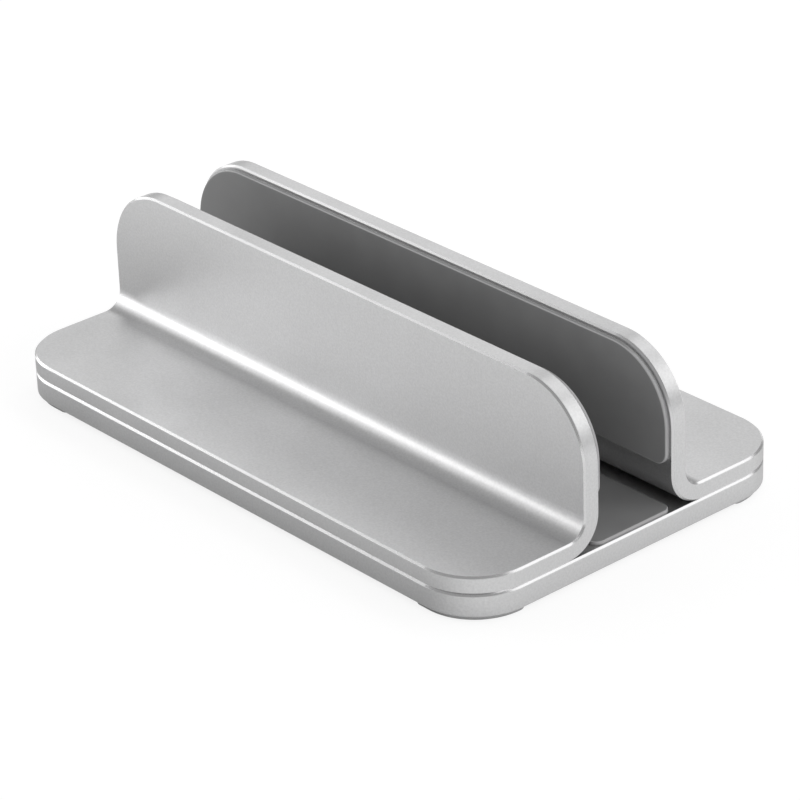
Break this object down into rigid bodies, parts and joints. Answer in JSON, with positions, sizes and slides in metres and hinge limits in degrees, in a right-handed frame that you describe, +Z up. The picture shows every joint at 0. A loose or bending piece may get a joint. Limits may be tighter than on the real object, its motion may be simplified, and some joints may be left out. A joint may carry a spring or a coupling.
{
  "type": "vertical laptop stand",
  "caption": "Desk stand that holds a closed laptop on edge between two padded aluminium brackets that slide on a heavy base plate.",
  "frame": {"origin": "on the surface the stand rests on, under the middle of the base plate", "axes": "+X along the laptop slot, +Y across the slot from the front bracket to the rear one, +Z up"},
  "size_m": [0.175, 0.1046, 0.0477],
  "materials": {
    "aluminium": "fine bead-blasted, clear anodised, bevelled edges",
    "silicone": "matt dark grey silicone",
    "steel": "plain zinc-plated steel"
  },
  "bodies": {
    "base": {"base_plate": "aluminium", "slot_floor_pad": "silicone", "front_left_foot": "silicone", "front_right_foot": "silicone", "rear_left_foot": "silicone", "rear_right_foot": "silicone"},
    "front_carriage": {"front_bracket": "aluminium", "front_bracket_pad": "silicone", "front_left_screw": "steel", "front_right_screw": "steel", "front_left_washer": "steel", "front_right_washer": "steel"},
    "rear_carriage": {"rear_bracket": "aluminium", "rear_bracket_pad": "silicone", "rear_left_screw": "steel", "rear_right_screw": "steel", "rear_left_washer": "steel", "rear_right_washer": "steel"}
  },
  "joints": [
    {"name": "front_bracket_slide", "type": "slide", "parent": "base", "child": "front_carriage", "axis": [0, -1, 0], "range_m": [-0.0036, 0.0054]},
    {"name": "rear_bracket_slide", "type": "slide", "parent": "base", "child": "rear_carriage", "axis": [0, 1, 0], "range_m": [-0.0036, 0.0054]}
  ]
}
